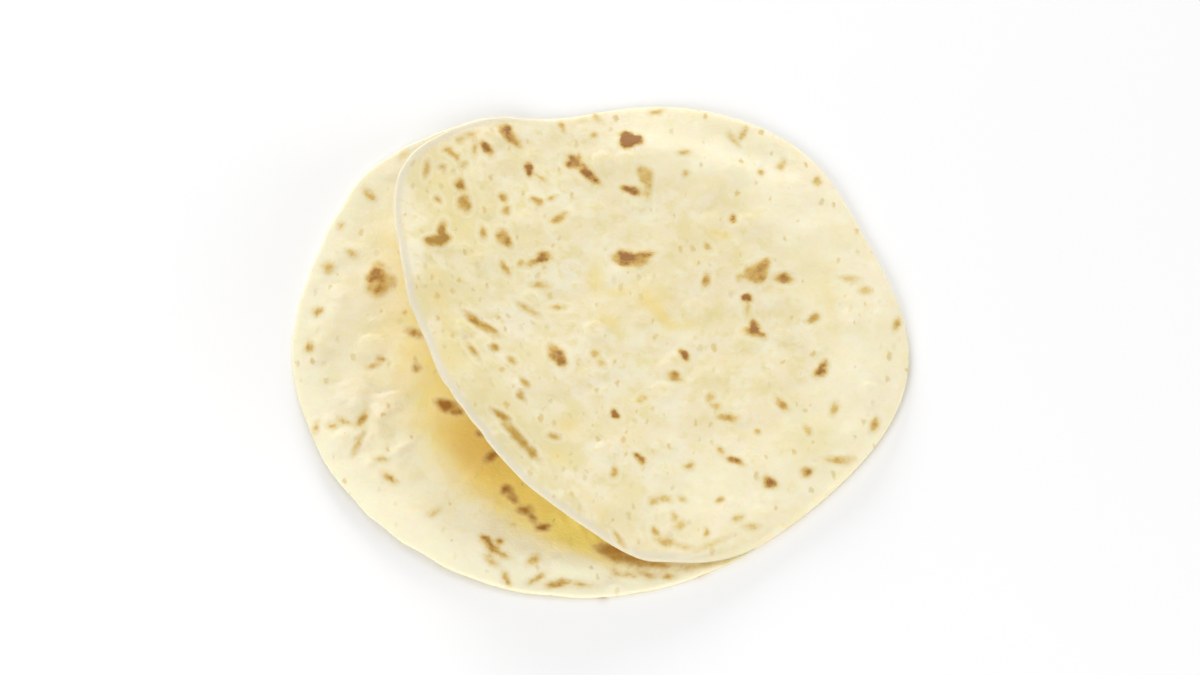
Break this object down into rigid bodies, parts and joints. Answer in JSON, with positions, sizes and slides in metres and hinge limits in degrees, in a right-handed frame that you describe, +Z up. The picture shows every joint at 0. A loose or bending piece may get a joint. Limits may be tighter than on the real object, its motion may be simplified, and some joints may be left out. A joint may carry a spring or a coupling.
{
  "type": "tortilla",
  "caption": "Soft flour tortilla lying folded over, round in outline, joined by a soft rounded fold along one side, with the upper layer's free edge lifted off the lower layer at the other.",
  "frame": {"origin": "on the ground, under the middle of the folded tortilla's box", "axes": "+Z up, through both layers; +X towards the folded side; +Y towards the back, where the fold ends in a notch"},
  "size_m": [0.2125, 0.195, 0.0333],
  "materials": {
    "dough": "soft baked flour dough, matte, pale cream with browned spots"
  },
  "bodies": {
    "root": {"tortilla": "dough"}
  },
  "joints": []
}
